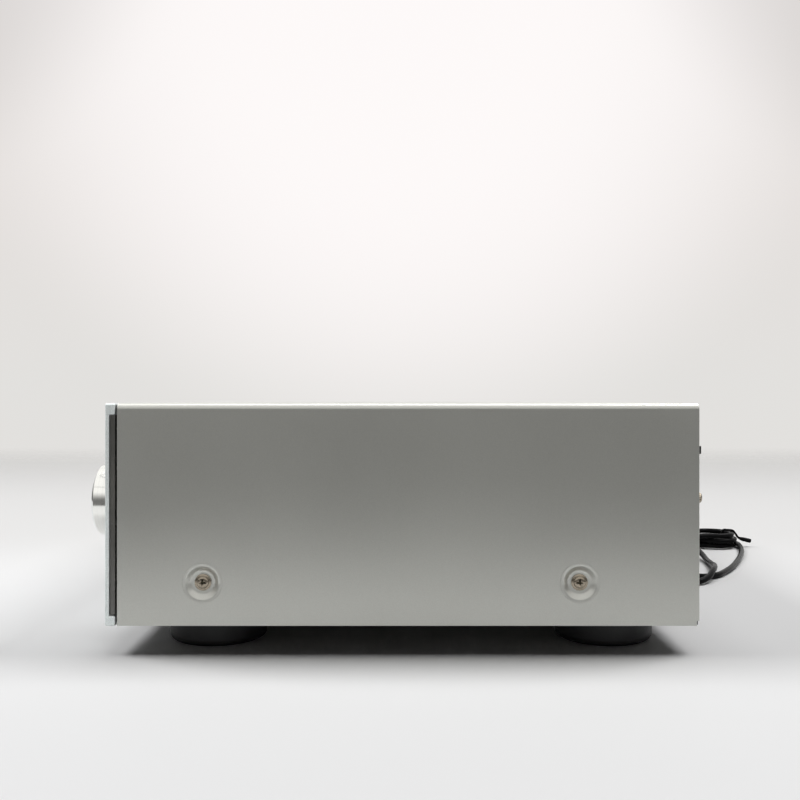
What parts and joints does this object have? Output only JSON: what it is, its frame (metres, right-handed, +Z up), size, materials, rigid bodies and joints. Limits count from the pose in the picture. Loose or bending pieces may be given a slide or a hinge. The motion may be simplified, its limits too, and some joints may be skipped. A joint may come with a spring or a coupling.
{
  "type": "stereo receiver",
  "caption": "Full-width silver hi-fi stereo receiver with turning knobs, push buttons, rear terminals, round feet and a tied mains cord.",
  "frame": {"origin": "centre of the receiver's footprint at the bottom of its feet, measured without the mains cord", "axes": "+X to the receiver's right seen from the front, the front faces -Y, +Z up"},
  "size_m": [0.4358, 0.5536, 0.1515],
  "materials": {
    "cover_paint": "satin silver paint",
    "fascia_metal": "fine brushed, anodised silver",
    "knob_metal": "spun satin with a polished front chamfer",
    "foot_plastic": "moulded matt black",
    "dark_moulding": "dark semi-gloss moulding",
    "smoked_window": "smoked acrylic",
    "steel": "zinc-plated sheet",
    "black_steel": "textured black paint",
    "screw_metal": "nickel-plated, warm",
    "heat_sink_metal": "extruded, dull grey",
    "circuit_board": "green solder mask",
    "black_plastic": "moulded black",
    "red_plastic": "moulded red",
    "display_glass": "dark display glass",
    "cord_rubber": "glossy black flexible PVC"
  },
  "bodies": {
    "chassis": {"bottom_chassis": "steel", "rear_panel": "black_steel", "top_cover": "cover_paint", "front_panel": "fascia_metal", "fascia_backing": "dark_moulding", "front_subpanel": "black_steel", "display_window": "smoked_window", "display_module": "display_glass", "foot_front_left": "foot_plastic", "foot_front_right": "foot_plastic", "foot_rear_left": "foot_plastic", "foot_rear_right": "foot_plastic", "side_screw_front_left": "screw_metal", "side_screw_front_right": "screw_metal", "side_screw_rear_left": "screw_metal", "side_screw_rear_right": "screw_metal", "rear_screw_left": "screw_metal", "rear_screw_right": "screw_metal", "volume_potentiometer": "steel", "selector_encoder": "steel", "tone_control_board": "circuit_board", "power_switch": "black_plastic", "headphone_jack": "black_plastic", "control_board": "circuit_board", "power_transformer": "black_steel", "heat_sink": "heat_sink_metal", "amplifier_board": "circuit_board", "power_supply_board": "circuit_board", "filter_capacitor_left": "black_plastic", "filter_capacitor_right": "black_plastic", "input_board": "circuit_board", "tuner_module": "steel", "line_jack_block": "black_plastic", "antenna_terminal": "black_plastic", "ground_post": "screw_metal", "speaker_terminal_base": "black_plastic", "cord_strain_relief": "cord_rubber", "power_cord": "cord_rubber", "power_cord_end": "cord_rubber", "power_cord_hank": "cord_rubber", "power_plug": "black_plastic"},
    "volume_control": {"volume_knob": "knob_metal", "volume_shaft": "steel"},
    "selector_control": {"selector_knob": "knob_metal", "selector_shaft": "steel"},
    "bass_control": {"bass_knob": "knob_metal"},
    "treble_control": {"treble_knob": "knob_metal"},
    "balance_control": {"balance_knob": "knob_metal"},
    "power_key": {"power_button": "fascia_metal"},
    "speaker_a_key": {"speaker_a_button": "fascia_metal"},
    "speaker_b_key": {"speaker_b_button": "fascia_metal"},
    "tuning_down_key": {"tuning_down_button": "fascia_metal"},
    "tuning_up_key": {"tuning_up_button": "fascia_metal"},
    "memory_key": {"memory_button": "fascia_metal"},
    "ground_cap": {"ground_nut": "screw_metal"},
    "left_positive_cap": {"speaker_post_left_positive": "red_plastic"},
    "left_negative_cap": {"speaker_post_left_negative": "black_plastic"},
    "right_positive_cap": {"speaker_post_right_positive": "red_plastic"},
    "right_negative_cap": {"speaker_post_right_negative": "black_plastic"}
  },
  "joints": [
    {"name": "volume_turn", "type": "hinge", "parent": "chassis", "child": "volume_control", "pos_m": [0.1575, -0.177, 0.087], "axis": [0, -1, 0], "range_deg": [-150, 150]},
    {"name": "selector_turn", "type": "hinge", "parent": "chassis", "child": "selector_control", "pos_m": [-0.1575, -0.177, 0.087], "axis": [0, -1, 0], "continuous": true},
    {"name": "bass_turn", "type": "hinge", "parent": "chassis", "child": "bass_control", "pos_m": [-0.042, -0.177, 0.041], "axis": [0, -1, 0], "range_deg": [-140, 140]},
    {"name": "treble_turn", "type": "hinge", "parent": "chassis", "child": "treble_control", "pos_m": [-0.008, -0.177, 0.041], "axis": [0, -1, 0], "range_deg": [-140, 140]},
    {"name": "balance_turn", "type": "hinge", "parent": "chassis", "child": "balance_control", "pos_m": [0.026, -0.177, 0.041], "axis": [0, -1, 0], "range_deg": [-140, 140]},
    {"name": "power_press", "type": "slide", "parent": "chassis", "child": "power_key", "axis": [0, 1, 0], "range_m": [0, 0.003], "stiffness_N_per_m": 500},
    {"name": "speaker_a_press", "type": "slide", "parent": "chassis", "child": "speaker_a_key", "axis": [0, 1, 0], "range_m": [0, 0.0015], "stiffness_N_per_m": 600},
    {"name": "speaker_b_press", "type": "slide", "parent": "chassis", "child": "speaker_b_key", "axis": [0, 1, 0], "range_m": [0, 0.0015], "stiffness_N_per_m": 600},
    {"name": "tuning_down_press", "type": "slide", "parent": "chassis", "child": "tuning_down_key", "axis": [0, 1, 0], "range_m": [0, 0.0015], "stiffness_N_per_m": 600},
    {"name": "tuning_up_press", "type": "slide", "parent": "chassis", "child": "tuning_up_key", "axis": [0, 1, 0], "range_m": [0, 0.0015], "stiffness_N_per_m": 600},
    {"name": "memory_press", "type": "slide", "parent": "chassis", "child": "memory_key", "axis": [0, 1, 0], "range_m": [0, 0.0015], "stiffness_N_per_m": 600},
    {"name": "ground_cap_turn", "type": "hinge", "parent": "chassis", "child": "ground_cap", "pos_m": [0.178, 0.1814, 0.0903], "axis": [0, 1, 0], "range_deg": [0, 1080]},
    {"name": "left_positive_cap_turn", "type": "hinge", "parent": "chassis", "child": "left_positive_cap", "pos_m": [-0.086, 0.1864, 0.07], "axis": [0, 1, 0], "range_deg": [0, 1080]},
    {"name": "left_negative_cap_turn", "type": "hinge", "parent": "chassis", "child": "left_negative_cap", "pos_m": [-0.105, 0.1864, 0.07], "axis": [0, 1, 0], "range_deg": [0, 1080]},
    {"name": "right_positive_cap_turn", "type": "hinge", "parent": "chassis", "child": "right_positive_cap", "pos_m": [-0.045, 0.1864, 0.07], "axis": [0, 1, 0], "range_deg": [0, 1080]},
    {"name": "right_negative_cap_turn", "type": "hinge", "parent": "chassis", "child": "right_negative_cap", "pos_m": [-0.064, 0.1864, 0.07], "axis": [0, 1, 0], "range_deg": [0, 1080]}
  ]
}
